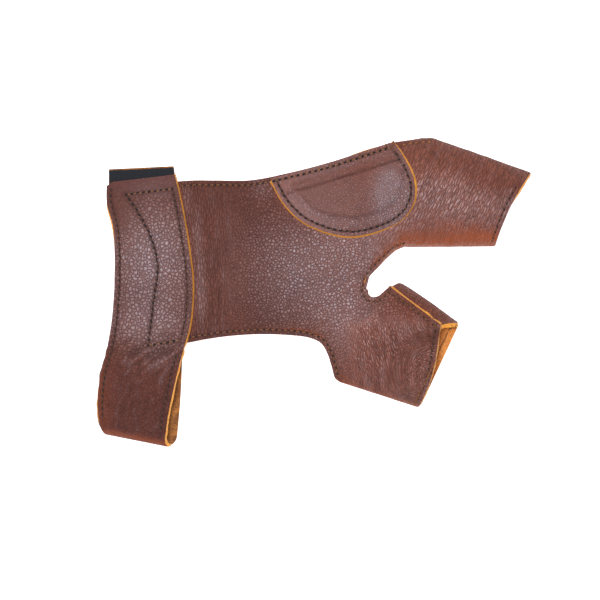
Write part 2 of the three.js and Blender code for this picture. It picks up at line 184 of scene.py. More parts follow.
fold_tuck = 0.06
strap_lip = 1.4
tab_seam = [
    (-0.868, 0.412), (-0.696, 0.295), (-0.546, 0.164), (-0.439, -0.014), (-0.485, -0.224), (-0.567, -0.52),
]
cell = 0.62
strap_cell = 0.58
strap_column = 0.55
press_depth = 0.28
strap_press_depth = 0.42
sharp_angle = 38
stitch_pitch = 2.7
seam_inset = 2.0
thread_radius = 0.27
loose_thread_radius = 0.26
tube_rings = 7
tube_sides = 6
hole_sides = 10
blended_columns = 24
above_all = 60.0


# Shaping helpers


def smooth(x):
    x = np.clip(x, 0.0, 1.0)
    return x * x * (3 - 2 * x)


def bell(x):
    return np.exp(-(x**2))


def lerp(a, b, t):
    return a + (b - a) * t


def eased(count):
    """Shares from 0 to 1 that lie closer together at both ends."""
    return lerp(evenly(count), (1 - np.cos(np.pi * evenly(count))) / 2, 0.8)


def evenly(count):
    return np.arange(count + 1) / count


def flowing(points, samples):
    """Points on a curve that passes smoothly through the given ones, at samples from 0 to 1."""
    p = np.asarray(points, float)
    last = len(p) - 1
    p = np.concatenate([2 * p[:1] - p[1:2], p, 2 * p[-1:] - p[-2:-1]])
    places = np.asarray(samples, float) * last
    first = np.clip(np.floor(places).astype(int), 0, last - 1)
    w = (places - first).reshape((-1,) + (1,) * (p.ndim - 1))
    a, b, c, d = (p[first + k] for k in range(4))

    def step(u, v):
        gap = np.sqrt(np.sqrt(((u - v) ** 2).sum(-1, keepdims=True)))
        return np.where(gap < 1e-4, 1.0, gap)

    ab, bc, cd = step(a, b), step(b, c), step(c, d)
    leave = ((b - a) / ab - (c - a) / (ab + bc) + (c - b) / bc) * bc
    arrive = ((c - b) / bc - (d - b) / (bc + cd) + (d - c) / cd) * bc
    return b + w * (leave + w * (3 * (c - b) - 2 * leave - arrive + w * (2 * (b - c) + leave + arrive)))


def loft(rows, size):
    """A grid that passes smoothly through rows of points, in steps of about the given size."""
    rows = np.stack(rows)
    spans = np.linalg.norm(np.diff(rows, axis=0), axis=-1).mean(axis=1)
    stops = [0.0]
    for k, span in enumerate(spans):
        count = max(2, int(round(span / size)))
        stops += [k + (m + 1) / count for m in range(count)]
    return flowing(rows, np.array(stops) / (len(rows) - 1)), stops


def along(path, spacing=None, count=None):
    """Evenly spaced points on a line of points."""
    path = np.asarray(path, float)
    walked = np.concatenate([[0], np.cumsum(np.linalg.norm(np.diff(path, axis=0), axis=1))])
    if count is None:
        count = max(2, int(round(walked[-1] / spacing)) + 1)
    stops = np.linspace(0, walked[-1], count)
    return np.stack([np.interp(stops, walked, path[:, k]) for k in range(path.shape[1])], axis=1)


def inset(path, distance):
    """A plan line moved sideways: to the left of its way where distance is positive."""
    path = np.asarray(path, float)
    way = np.gradient(path[:, :2], axis=0)
    way /= np.linalg.norm(way, axis=1, keepdims=True) + 1e-9
    moved = path.copy()
    moved[:, 0] -= way[:, 1] * distance
    moved[:, 1] += way[:, 0] * distance
    return moved


def distance_to(path, xy):
    """Distance in plan from each point to a line of points, and how far along the line it is."""
    path = np.asarray(path, float)[:, :2]
    best = np.full(len(xy), 1e9)
    place = np.zeros(len(xy))
    walked = 0.0
    for a, b in zip(path[:-1], path[1:]):
        span = np.linalg.norm(b - a)
        if span < 1e-9:
            continue
        t = np.clip(((xy - a) @ (b - a)) / span**2, 0, 1)
        d = np.linalg.norm(xy - a - t[:, None] * (b - a), axis=1)
        nearer = d < best
        best[nearer] = d[nearer]
        place[nearer] = walked + t[nearer] * span
        walked += span
    return best, place


def inside(outline, xy):
    """True for the plan points inside a closed outline."""
    outline = np.asarray(outline, float)[:, :2]
    found = np.zeros(len(xy), bool)
    for a, b in zip(outline, np.roll(outline, -1, axis=0)):
        spans = (a[1] > xy[:, 1]) != (b[1] > xy[:, 1])
        rise = b[1] - a[1] if abs(b[1] - a[1]) > 1e-12 else 1e-12
        found ^= spans & (xy[:, 0] < a[0] + (xy[:, 1] - a[1]) * (b[0] - a[0]) / rise)
    return found


def turned(degrees):
    return np.array([math.cos(math.radians(degrees)), math.sin(math.radians(degrees)), 0.0])


def spots(points, places):
    """Soft-edged patches, each given by its middle and reach in plan and its strength."""
    total = np.zeros(len(points))
    for (x, y), (wide, tall), strength in places:
        d = ((points[:, 0] - x * palm_length) / wide) ** 2 + ((points[:, 1] - y * palm_width) / tall) ** 2
        total += strength * np.exp(-d)
    return total


def waves(points, size, seed=0.0):
    """Smooth random heights from -1 to 1 at each point; size is the width of a wave."""
    return np.array([noise.noise(Vector(p)) for p in points / size + seed]) * 1.6


def laid_along(points, degrees, across, length):
    """The points measured along and across a direction in plan, in steps of the given sizes."""
    way, side = turned(degrees), turned(degrees + 90)
    return np.stack([points @ way / length, points @ side / across, points[:, 2] / length], axis=1)


def ringed(points, middle, across, length):
    """The points measured round and away from a middle in plan."""
    away = points[:, :2] - np.asarray(middle)[:2]
    far = np.hypot(away[:, 0], away[:, 1])
    round_it = np.cos(np.arctan2(away[:, 1], away[:, 0])) * 20 / length
    return np.stack([round_it, far / across, points[:, 2] / length], axis=1)


# Skins: one open surface made of grids, then thickened


class Skin:
    """An open surface of joined grids, with a few numbers kept at each of its points."""

    def __init__(self, grids, **fields):
        points, quads, offset = [], [], 0
        for grid in grids:
            rows, columns = grid.shape[:2]
            numbers = offset + np.arange(rows * columns).reshape(rows, columns)
            corners = numbers[:-1, :-1], numbers[1:, :-1], numbers[1:, 1:], numbers[:-1, 1:]
            quads.append(np.stack([c.ravel() for c in corners], axis=1)[:, [0, 3, 2, 1]])
            points.append(grid.reshape(-1, 3))
            offset += rows * columns
        points = np.concatenate(points)
        quads = np.concatenate(quads)
        keys = np.round(points / 2e-3).astype(np.int64)
        _, firsts, places = np.unique(keys, axis=0, return_index=True, return_inverse=True)
        places = places.ravel()
        self.points = points[firsts]
        faces = places[quads]
        self.faces = [tuple(dict.fromkeys(face)) for face in faces.tolist()]
        self.faces = [face for face in self.faces if len(face) > 2]
        self.triangles = np.array([(f[0], f[k], f[k + 1]) for f in self.faces for k in range(1, len(f) - 1)])
        self.fields = {}
        for name, parts in fields.items():
            values = np.concatenate([np.asarray(part, float).ravel() for part in parts])
            kept = np.zeros(len(self.points))
            np.maximum.at(kept, places, values)
            self.fields[name] = kept
        directed = dict.fromkeys((a, b) for face in self.faces for a, b in zip(face, face[1:] + face[:1]))
        self.rim = [(a, b) for a, b in directed if (b, a) not in directed]
        self.through = self.normals()

    def normals(self):
        """The way out of the surface at each point, evened out over its neighbours."""
        n = np.zeros_like(self.points)
        a, b, c = (self.points[self.triangles[:, k]] for k in range(3))
        area = np.cross(b - a, c - a)
        for k in range(3):
            np.add.at(n, self.triangles[:, k], area)
        for _ in range(2):
            spread = n.copy()
            for k in range(3):
                np.add.at(spread, self.triangles[:, k], n[self.triangles[:, k - 1]])
            n = spread
        return n / (np.linalg.norm(n, axis=1, keepdims=True) + 1e-12)

    def tree(self):
        return BVHTree.FromPolygons([tuple(p) for p in self.points], self.faces)

    def push(self, heights):
        """Moves each point along its normal."""
        self.points = self.points + self.normals() * np.asarray(heights)[:, None]

    def rim_distance(self, reach=4.0):
        """Distance of each point from the open rim, up to reach."""
        edge = sorted({k for pair in self.rim for k in pair})
        tree = KDTree(len(edge))
        for k in edge:
            tree.insert(self.points[k], k)
        tree.balance()
        return np.array([min(reach, tree.find(p)[2]) for p in self.points])

    def round_rim(self, drop=0.2, reach=0.9):
        """Turns the grain side down a little at its cut edge."""
        self.through = self.normals()
        d = self.rim_distance()
        self.points = self.points - self.through * (drop * np.clip(1 - d / reach, 0, 1) ** 2)[:, None]

    def sheet(self, name, thickness, finishes, bevel=0.1):
        """The closed sheet: grain side, flesh side and the cut edge between them."""
        n = self.through
        count = len(self.points)
        inner = self.points - n * thickness
        outward = np.zeros_like(inner)
        for a, b in self.rim:
            side = np.cross(self.points[b] - self.points[a], (n[a] + n[b]) / 2)
            outward[a] += side
            outward[b] += side
        size = np.linalg.norm(outward, axis=1, keepdims=True)
        outward = np.where(size > 1e-9, outward / (size + 1e-12), 0)
        outward -= n * (outward * n).sum(axis=1, keepdims=True)
        slant = self.fields.get("bevel", np.zeros(count)) + bevel
        inner += outward * slant[:, None]
        faces = list(self.faces)
        finish = [0] * len(faces)
        faces += [tuple(count + k for k in reversed(face)) for face in self.faces]
        finish += [1] * len(self.faces)
        faces += [(b, a, a + count, b + count) for a, b in self.rim]
        finish += [2] * len(self.rim)
        piece = make_piece(name, np.concatenate([self.points, inner]), faces, finishes, finish)
        for field, values in self.fields.items():
            store(piece, field, np.concatenate([values, values]))
        piece.data.set_sharp_from_angle(angle=math.radians(sharp_angle))
        return piece


def new_object(name, data):
    made = bpy.data.objects.new(name, data)
    bpy.context.scene.collection.objects.link(made)
    return made


def make_piece(name, points, faces, finishes, finish=None):
    mesh = bpy.data.meshes.new(name)
    at_place = (np.asarray(points) + shift) * MM
    mesh.from_pydata([tuple(p) for p in at_place], [], faces)
    for material in finishes:
        mesh.materials.append(material)
    if finish is not None:
        mesh.polygons.foreach_set("material_index", np.array(finish, np.int32))
    mesh.polygons.foreach_set("use_smooth", np.ones(len(mesh.polygons), bool))
    mesh.update()
    return new_object(name, mesh)


def sheet_tree(piece):
    """A finished sheet as rays meet it, in this script's millimetres."""
    mesh = piece.data
    points = [tuple(np.array(v.co) / MM - shift) for v in mesh.vertices]
    return BVHTree.FromPolygons(points, [tuple(p.vertices) for p in mesh.polygons])


def store(piece, field, values):
    layer = piece.data.attributes.new(field, "FLOAT", "POINT")
    layer.data.foreach_set("value", np.asarray(values, np.float32))


# Where the solids lie: the hook tape's corner ties this script's frame to the row's


def strap_point(share, z=0.0):
    return np.array([strap_middle + share[0] * strap_width, strap_top - share[1] * strap_length, z])


def tape_corners(from_drop, length):
    left, right = (strap_point(end) for end in strap_back[-1])
    way = (right - left) / np.linalg.norm(right - left)
    down = np.array([way[1], -way[0], 0])
    middle = (left + right) / 2 + down * from_drop
    half = tape_width / 2
    return [
        middle + way * side * half + down * drop
        for side, drop in ((-1, 0), (-1, length), (1, length), (1, 0))
    ]


shift = np.zeros(3)
hook_low = np.min(tape_corners(tape_setback, hook_length), axis=0)
shift[:2] = np.array(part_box("hook_tape")[0])[:2] / MM - hook_low[:2]


# Finishes


class Value:
    """A socket whose number changes over a surface. Sums on it add Math nodes."""

    def __init__(self, finish, socket):
        self.finish = finish
        self.socket = socket

    def maths(self, operation, *values):
        return self.finish.add("ShaderNodeMath", {"operation": operation}, dict(enumerate(values)))

    def __add__(self, other):
        return self.maths("ADD", self, other)

    def __sub__(self, other):
        return self.maths("SUBTRACT", self, other)

    def __rsub__(self, other):
        return self.maths("SUBTRACT", other, self)

    def __mul__(self, other):
        return self.maths("MULTIPLY", self, other)

    def __truediv__(self, other):
        return self.maths("DIVIDE", self, other)

    def __pow__(self, other):
        return self.maths("POWER", self, other)

    __radd__ = __add__
    __rmul__ = __mul__

    def within(self, low, high):
        """0 below low, 1 above high and smooth between them."""
        inputs = {"Value": self, "From Min": low, "From Max": high}
        return self.finish.add("ShaderNodeMapRange", {"interpolation_type": "SMOOTHSTEP"}, inputs)


class Finish:
    """A material and the nodes that make it."""

    def __init__(self, name):
        self.material = bpy.data.materials.new(name)
        self.material.use_nodes = True
        self.tree = self.material.node_tree
        self.shader = self.tree.nodes["Principled BSDF"]
        self.place = self.add("ShaderNodeTexCoord", output="Object")

    def add(self, kind, settings=(), inputs=(), output=0):
        node = self.tree.nodes.new(kind)
        for key, setting in dict(settings).items():
            setattr(node, key, setting)
        for key, value in dict(inputs).items():
            self.feed(node.inputs[key], value)
        return Value(self, node.outputs[output])

    def feed(self, socket, value):
        if isinstance(value, Value):
            self.tree.links.new(value.socket, socket)
        else:
            socket.default_value = value

    def set(self, **inputs):
        for key, value in inputs.items():
            self.feed(self.shader.inputs[key.replace("_", " ")], value)

    def kept(self, field):
        """A number that was stored at the points of the mesh."""
        return self.add("ShaderNodeAttribute", {"attribute_name": field}, output="Fac")

    def scaled(self, waves_a_metre, lengthwise=None):
        """The object's own coordinates, in waves a metre."""
        scale = (waves_a_metre, lengthwise or waves_a_metre, waves_a_metre)
        return self.add("ShaderNodeMapping", {}, {"Vector": self.place, "Scale": scale})

    def clouds(self, place, detail=3.0, roughness=0.55, output="Factor"):
        inputs = {"Vector": place, "Scale": 1.0, "Detail": detail, "Roughness": roughness}
        return self.add("ShaderNodeTexNoise", {}, inputs, output=0 if output == "Factor" else 1)

    def pebbles(self, place):
        inputs = {"Vector": place, "Scale": 1.0, "Randomness": 1.0}
        return self.add("ShaderNodeTexVoronoi", {"feature": "DISTANCE_TO_EDGE"}, inputs)

    def domes(self, place, flat):
        """Pebbles with creases between them; flat says how level their tops are."""
        wander = self.clouds(place, 2.0, output="Color")
        inputs = {0: wander, 1: (1.0,) * 3, 2: place}
        bent = self.add("ShaderNodeVectorMath", {"operation": "MULTIPLY_ADD"}, inputs)
        rise = self.pebbles(bent)
        crease = rise.maths("MINIMUM", rise * 4.6, 1.0)
        dome = rise.maths("MINIMUM", rise * 1.7, 1.0)
        return crease * (2 - crease) * flat + dome * (2 - dome) * (1 - flat)

    def mixed(self, share, a, b):
        return a * (1 - share) + b * share

    def blend(self, share, a, b):
        settings = {"data_type": "RGBA", "blend_type": "MIX"}
        inputs = {"Factor": share, 6: a, 7: b}
        return self.add("ShaderNodeMix", settings, inputs, output=2)

    def relief(self, height, depth):
        """Height from 0 to 1 as a bump of the given depth in millimetres."""
        bump = self.add("ShaderNodeBump", {}, {"Height": height, "Distance": depth * MM, "Strength": 1.0})
        self.set(Normal=bump)


def colour(red, green, blue):
    """A colour as seen on a screen, from 0 to 255, as the shader takes it."""
    share = [c / 255 for c in (red, green, blue)]
    return tuple(c / 12.92 if c < 0.04045 else ((c + 0.055) / 1.055) ** 2.4 for c in share) + (1.0,)


def darker(shade, share):
    return tuple(c * share for c in shade[:3]) + (1.0,)


def grain_side(name, pebble, flat, even_sheen):
    """Brown full-grain leather: pebbled where it is slack, drawn into fine ridges where it is pulled."""
    f = Finish(name)
    pull_up_orange_and_glow, tone, shine, slick = f.kept("tan"), f.kept("tone"), f.kept("shine"), f.kept("slick")
    drawn = f.add("ShaderNodeCombineXYZ", {}, {0: f.kept("across"), 1: f.kept("along")})
    relief = f.mixed(f.kept("pull"), f.domes(f.scaled(pebble), flat), f.domes(drawn, 0.3))
    swells = f.clouds(f.scaled(pebble * 0.45), 2.0)
    patchy = f.clouds(f.scaled(60), 3.0).within(0.3, 0.7)
    mottle = f.clouds(f.scaled(420), 3.0).within(0.35, 0.7)
    dark = f.blend(patchy, colour(88, 43, 34), colour(98, 49, 37))
    pale = f.blend(patchy, colour(140, 74, 52), colour(152, 81, 55))
    # Tone: dye that varies over the leather, raised as painted sheen where it shines.
    base = f.blend(tone, dark, pale)
    base = f.blend(mottle * 0.3, base, colour(86, 43, 34))
    # Painted shade in the creases between pebbles: the base is darkened towards a deep brown there.
    painted_grain_shade = (1 - relief.within(0.0, 0.62)) * (0.7 - 0.5 * slick) * (1 - 0.25 * shine)
    base = f.blend(painted_grain_shade, base, colour(66, 30, 22))
    # Painted sheen and highlights: the base is mixed towards a grey-lilac highlight colour where the sheen
    # field is high, most on the pebble tops.
    lively = f.clouds(f.scaled(560), 1.0).within(0.3, 0.62)
    painted_glint = even_sheen + (0.95 - even_sheen) * relief ** 3.0 * (0.35 + 0.65 * lively)
    base = f.blend(f.kept("bloom") * painted_glint, base, colour(166, 151, 156))
    # Painted shade in seam channels, creases and furrow bottoms, read from the crease field.
    base = f.blend(f.kept("crease") * 0.55, base, colour(62, 29, 23))
    # Orange on faces turned down: partly the pull-up colour of bent leather, partly painted glow.
    base = f.blend(pull_up_orange_and_glow * 0.9, base, colour(162, 76, 36))
    f.set(Base_Color=base, Roughness=0.84 - 0.46 * shine + 0.05 * mottle)
    f.relief((relief + swells * 0.5) * (1 - 0.75 * slick), 0.36)
    return f.material


def flesh_side(name, pale, dark, pitted=0.25):
    """The suede-like back of the leather."""
    f = Finish(name)
    patchy = f.clouds(f.scaled(150), 4.0)
    nap = f.clouds(f.scaled(1600, 900), 4.0, 0.65)
    pits = f.clouds(f.scaled(900, 1300), 3.0, 0.6)
    base = f.blend(patchy.within(0.3, 0.7), dark, pale)
    base = f.blend(nap.within(0.35, 0.75) * 0.35, base, dark)
    base = f.blend(pits.within(0.52, 0.68) * pitted, base, darker(dark, 0.4))
    f.set(Base_Color=base, Roughness=0.88, Sheen_Weight=0.15)
    f.relief(nap, 0.3)
    return f.material


def cut_edge(name, pale, dark):
    """The raw cut, where the undyed middle of the leather shows."""
    f = Finish(name)
    fibre = f.clouds(f.scaled(900), 3.0)
    bright = f.kept("bright")
    dull = f.blend(fibre.within(0.3, 0.7), colour(92, 48, 34), colour(126, 72, 42))
    vivid = f.blend(fibre.within(0.3, 0.7), dark, pale)
    f.set(Base_Color=f.blend(bright, dull, vivid), Roughness=0.7)
    f.relief(fibre, 0.15)
    return f.material


def thread_finish(name, shade):
    f = Finish(name)
    twist = f.clouds(f.scaled(2400), 2.0)
    f.set(Base_Color=f.blend(twist.within(0.35, 0.7), shade, darker(shade, 0.45)), Roughness=0.7)
    f.relief(twist, 0.1)
    return f.material


# A needle hole's colour: painted shade for its depth.
def hole_shade_finish(name, shade):
    f = Finish(name)
    f.set(Base_Color=shade, Roughness=0.9)
    return f.material


def tape_finish(name, shade):
    f = Finish(name)
    weave = f.clouds(f.scaled(1900), 3.0)
    f.set(Base_Color=f.blend(weave.within(0.35, 0.7), shade, colour(38, 39, 44)), Roughness=0.9)
    f.relief(weave, 0.2)
    return f.material


grain = grain_side("leather grain", 760, 0.3, 0.2)
strap_grain = grain_side("strap leather grain", 660, 0.42, 0.3)
patch_grain = grain_side("patch leather grain", 1000, 0.3, 0.27)
flesh = flesh_side("leather flesh side", colour(230, 146, 68), colour(186, 110, 48), 0.65)
strap_flesh = flesh_side("strap flesh side", colour(190, 120, 54), colour(128, 76, 36), 0.9)
edge = cut_edge("leather cut edge", colour(252, 174, 66), colour(234, 146, 46))

# The look of each kind of seam: thread, its colour, needle hole, its colour as painted shade for the hole's
# depth, and the hole's length and width
seam_kinds = {
    "bold": ("dark thread", (104, 62, 42), "needle hole", (38, 25, 21), 1.8, 1.25),
    "two-tone": ("clean thread", (158, 108, 64), "deep needle hole", (28, 17, 14), 1.5, 1.15),
    "plain": ("worn thread", (106, 66, 44), "worn needle hole", (54, 31, 25), 1.5, 1.0),
    "light": ("light thread", (150, 98, 58), "light needle hole", (46, 27, 21), 1.2, 0.85),
    "tan": ("tan thread", (146, 92, 54), "tan needle hole", (74, 43, 32), 1.4, 0.9),
    "amber": ("amber thread", (172, 108, 50), "amber needle hole", (92, 54, 36), 1.3, 0.8),
    "dots": ("sunk thread", (112, 68, 52), "small needle hole", (52, 31, 24), 1.3, 0.9),
    "mouth": ("mouth thread", (158, 98, 50), "mouth needle hole", (134, 82, 42), 1.4, 0.8),
}
seam_looks = {
    kind: (thread_finish(thread, colour(*shade)), hole_shade_finish(hole, colour(*depth)), length, width)
    for kind, (thread, shade, hole, depth, length, width) in seam_kinds.items()
}
tape_black = tape_finish("tape weave", colour(20, 21, 25))
board = flesh_side("stiffener board", colour(196, 150, 96), colour(160, 116, 70))


# The back of the hand and the two sleeves


def strap_height(y):
    """Height of the strap's upper face above the tab of the hand panel."""
    drop = (strap_top - y) / strap_length
    return lerp(stack_height, loop_height, smooth(drop / 0.42))


def palm_point(share, z=0.0):
    return np.array([share[0] * palm_length, share[1] * palm_width, z])


tab_points = [(x * strap_width, y * palm_width, 0) for x, y in tab_section]
tab_edge = flowing(tab_points, evenly(60))

finger_columns = 84
thumb_columns = 66
halves = ((0.0, finger_columns), (0.5, thumb_columns))


def arch(u):
    return np.maximum(0, 1 - u * u) ** 0.62


def under_strap(y):
    """Height of the hand panel where the strap's front lies on it."""
    return strap_height(y) - leather - seat_gap


def palm_row(section):
    *places, heights, swells, held = section
    through = [palm_point(place, height * palm_hump) for place, height in zip(places, heights)]
    row = []
    for (start, columns), swell in zip(halves, swells):
        shares = eased(columns)
        p = flowing(through, start + shares / 2)
        p[:, 2] += swell * palm_hump * (1 - (2 * shares - 1) ** 2) ** 2
        p[:, 2] = lerp(p[:, 2], under_strap(p[:, 1]), held)
        row.append(p)
    return row


def tab_row():
    row = [flowing(tab_points, start + eased(columns) / 2) for start, columns in halves]
    for p in row:
        p[:, 2] = under_strap(p[:, 1])
    return row


def web_rows(web, columns, start, root_height):
    shares = eased(columns)
    bow = start - lerp(start[0], start[-1], shares[:, None])
    rows = []
    for k, (top, low) in enumerate(web):
        weight = smooth((k + 1) / len(web))
        row = lerp(palm_point(top), palm_point(low), shares[:, None]) + bow * (1 - weight)
        row[:, 2] = lerp(start[:, 2], root_height(shares), weight)
        rows.append(row)
    return rows


def index_front(height, share):
    return index_fold + (height - index_fold) * arch(2 * share - 1)


def thumb_front(height, rise):
    return thumb_fold + (height - thumb_fold) * arch(1 - rise)


def sleeve_frame(root_top, root_low, length, angle, end_width, slant, share):
    """A sleeve's two sides at a share of its length, and the ways up and out in plan."""
    end = (root_top + root_low) / 2 + turned(angle) * length
    half = turned(90 + angle - slant) * end_width / 2
    top = lerp(root_top, end + half, share)
    low = lerp(root_low, end - half, share)
    width = np.linalg.norm(top - low)
    up = (top - low) / width
    return top, low, up, np.array([up[1], -up[0], 0.0]), width


def bend_down(radius, steps=8):
    angle = math.pi / 2 * evenly(steps)[1:]
    return radius * (1 - np.cos(angle)), radius * (1 - np.sin(angle))


def index_ring(root_top, root_low, rows):
    grid = []
    for share in evenly(rows):
        top, low, up, out, width = sleeve_frame(
            root_top, root_low, index_length, index_angle, index_end_width, index_end_slant, share
        )
        height = lerp(palm_hump, index_height, share)

        def at(lateral, z):
            lateral = np.atleast_1d(lateral).astype(float)
            u = 2 * lateral / width - 1
            p = low + up * lateral[:, None] - out * (index_end_bow * share * (1 - u * u))[:, None]
            p[:, 2] = z
            return p

        shares = eased(finger_columns)
        front = at(width * (1 - shares), index_front(height, shares))
        lap = width * flap_seam
        inward, z = bend_down(index_fold)
        upper = np.concatenate([
            at(width - inward, z),
            at(lerp(width - index_fold, lap, evenly(32)[1:]), 0.0),
        ])
        start = lap - flap_step_lead
        raised = leather + seat_gap
        climb = evenly(8)[1:]
        lower = np.concatenate([
            at(inward, z),
            at(lerp(index_fold, start, evenly(6)[1:]), 0.0),
            at(start + flap_step * climb, raised * smooth(climb)),
            at(lerp(start + flap_step, lap + seam_overlap, evenly(14)[1:]), raised),
        ])
        grid.append(np.concatenate([upper[::-1], front, lower]))
    return np.stack(grid), len(upper)


def thumb_ring(root_top, root_low, rows):
    grid = []
    for share in evenly(rows):
        top, low, up, out, width = sleeve_frame(
            root_top, root_low, thumb_length, thumb_angle, thumb_end_width, thumb_end_slant, share
        )
        height = lerp(thumb_height - thumb_root_drop, thumb_height, share)
        full = width + thumb_ledge * (1 + 0.4 * math.sin(math.pi * math.sqrt(share)))
        crest = width - 1
        lead = thumb_lead * lerp(0.34, 1, share)
        shares = eased(thumb_columns)
        bow = thumb_end_bow * share * np.sin(np.pi * shares**1.3)
        front = lerp(top, low, shares[:, None]) + out * bow[:, None]
        front[:, 2] = thumb_front(height, 1 - shares)

        def at(lateral, z, reach):
            lateral = np.atleast_1d(lateral).astype(float)
            p = low + up * lateral[:, None] + out * (lead * np.broadcast_to(reach, lateral.shape))[:, None]
            p[:, 2] = z
            return p

        def floor(lateral, z):
            return at(lateral, z, np.asarray(lateral) / full)

        def under(lateral):
            return thumb_front(height, lateral / width) - leather - seat_gap - seam_play

        inward, z = bend_down(thumb_fold)
        angle = math.pi / 2 * evenly(14)[1:]
        round_over = np.cos(angle) ** lerp(1, 0.55, share**4)
        tuck = crest - seam_overlap * evenly(10)[1:]
        grid.append(np.concatenate([
            front,
            floor(inward, z),
            floor(lerp(thumb_fold, full - thumb_fold, evenly(44)[1:]), 0.0),
            floor(full - inward[::-1][1:], z[::-1][1:]),
            floor(np.array([full]), thumb_fold),
            at(lerp(crest, full, round_over), lerp(thumb_fold, under(crest), np.sin(angle)), np.cos(angle)),
            at(tuck, under(tuck), 0.0),
        ]))
    return np.stack(grid)


def hand_grids():
    palm = [palm_row(section) for section in palm_sections]
    tab = tab_row()
    crotch = palm[-1]
    index_rows = web_rows(index_web, finger_columns, crotch[0], lambda s: index_front(palm_hump, s))
    thumb_rows = web_rows(
        thumb_web, thumb_columns, crotch[1], lambda s: thumb_front(thumb_height - thumb_root_drop, 1 - s)
    )
    both = [np.concatenate([a, b]) for a, b in [tab] + palm]
    _, stops = loft(both, cell)
    shared = len(stops)
    count = len(both) - 1

    def half(first, web):
        _, beyond = loft([first[-1]] + web, cell)
        rows = np.stack(first + web)
        places = np.concatenate([stops, count + np.array(beyond[1:])])
        return flowing(rows, places / (len(rows) - 1))

    upper = half([tab[0]] + [row[0] for row in palm], index_rows)
    lower = half([tab[1]] + [row[1] for row in palm], thumb_rows)
    apart = lower[:shared, :1] - upper[:shared, -1:]
    near = smooth(1 - np.arange(blended_columns) / blended_columns)[None, :, None]
    upper[:shared, -blended_columns:] += apart / 2 * near[:, ::-1]
    lower[:shared, :blended_columns] -= apart / 2 * near
    for grid in (upper, lower):
        covered = smooth((0.03 * palm_length - grid[..., 0]) / 2)
        grid[..., 2] = lerp(grid[..., 2], under_strap(grid[..., 1]), covered)

    def flat(p):
        return np.array([p[0], p[1], 0.0])

    index, flap = index_ring(flat(upper[-1, 0]), flat(upper[-1, -1]), int(index_length / cell))
    thumb = thumb_ring(flat(lower[-1, 0]), flat(lower[-1, -1]), int(thumb_length / cell))
    return upper, lower, index, thumb, shared, flap


upper, lower, index, thumb, shared_rows, front_first = hand_grids()
front_last = front_first + finger_columns


def bevels():
    """How far the cut edge slants outwards, grid by grid, where its undyed middle shows."""
    plain = [np.zeros(grid.shape[:2]) for grid in (upper, lower, index, thumb)]
    plain[3][:, 0] = 0.6 * smooth((np.arange(len(thumb)) + 1) / 6)
    plain[3][-1, : thumb_columns + 1] = 0.2
    plain[3][-1, thumb_columns + 1 :] = 0.7
    plain[3][-1, -25:-10] = 1.15
    plain[3][-1, -10:] = 0.1
    plain[2][-1, front_first : front_last + 1] = 0.35 * smooth(1.6 - 2.4 * evenly(finger_columns))
    plain[0][shared_rows - 12 :, 0] = 0.22
    return plain


panel = Skin([upper, lower, index, thumb], bevel=bevels(), bright=[b / 0.3 for b in bevels()])

# Seams: lines in plan, drawn in from the edges

top_line = inset(upper[:, 0], -seam_inset)
top_line = top_line[top_line[:, 0] > -0.075 * palm_length]
low_line = inset(lower[:, -1], seam_inset)
low_line = low_line[low_line[:, 0] > -0.035 * palm_length]
crotch_line = np.concatenate([upper[shared_rows:, -1][::-1], lower[shared_rows:, 0], thumb[:, 0]])
crotch_line = inset(crotch_line, -seam_inset)
thumb_end_line = inset(thumb[-1, : thumb_columns + 1], -seam_inset)[4:-3]
index_end_line = inset(index[-1, front_first : front_last + 1], -seam_inset)[finger_columns // 3 : -4]
panel_seams = [top_line, low_line, crotch_line, thumb_end_line, index_end_line]


def channels(skin, seams):
    """How deep each point lies in the channels along seams, each given with its depth and width."""
    sunk = np.zeros(len(skin.points))
    for seam, deep, wide in seams:
        d, _ = distance_to(along(seam, 2.0), skin.points[:, :2])
        sunk = np.maximum(sunk, deep * bell(d / wide))
    return sunk


def press_seams(skin, seams):
    """Sinks a shallow channel along each seam."""
    sunk = channels(skin, [(seam, 1.0, 0.75) for seam in seams])
    up = skin.normals()[:, 2] > 0.25
    skin.push(-press_depth * sunk * up)
    return sunk * up


def straight_down(tree, x, y):
    """Where a line straight down meets a surface, and which way the surface faces there."""
    return tree.ray_cast(Vector((x, y, above_all)), Vector((0, 0, -1)))[:2]


def tube_ring(centre, side, up, radius, flat=1.0):
    angles = [2 * math.pi * k / tube_sides for k in range(tube_sides)]
    return [centre + (side * math.cos(angle) * flat + up * math.sin(angle)) * radius for angle in angles]


def add_tube(points, faces, rings):
    """Adds a closed tube through the rings."""
    base = len(points)
    for ring in rings:
        points += ring
    for low in range(base, base + (len(rings) - 1) * tube_sides, tube_sides):
        high = low + tube_sides
        for k in range(tube_sides):
            m = (k + 1) % tube_sides
            faces.append((low + k, low + m, high + m, high + k))
    faces.append(tuple(base + k for k in reversed(range(tube_sides))))
    faces.append(tuple(len(points) - tube_sides + k for k in range(tube_sides)))


def add_hole_shade(points, faces, spot, n, slanted, side, length, width):
    """Adds a dark dish, painted shade that stands for the depth of a needle hole."""
    base = len(points)
    for share in (1.0, 0.6):
        for k in range(hole_sides):
            angle = 2 * math.pi * k / hole_sides
            reach = slanted * math.cos(angle) * length + side * math.sin(angle) * width
            points.append(spot + reach * share / 2 + n * 0.09)
    points.append(spot + n * 0.07)
    for k in range(hole_sides):
        m = (k + 1) % hole_sides
        inner = base + hole_sides
        faces.append((base + k, base + m, inner + m, inner + k))
        faces.append((inner + k, inner + m, inner + hole_sides))


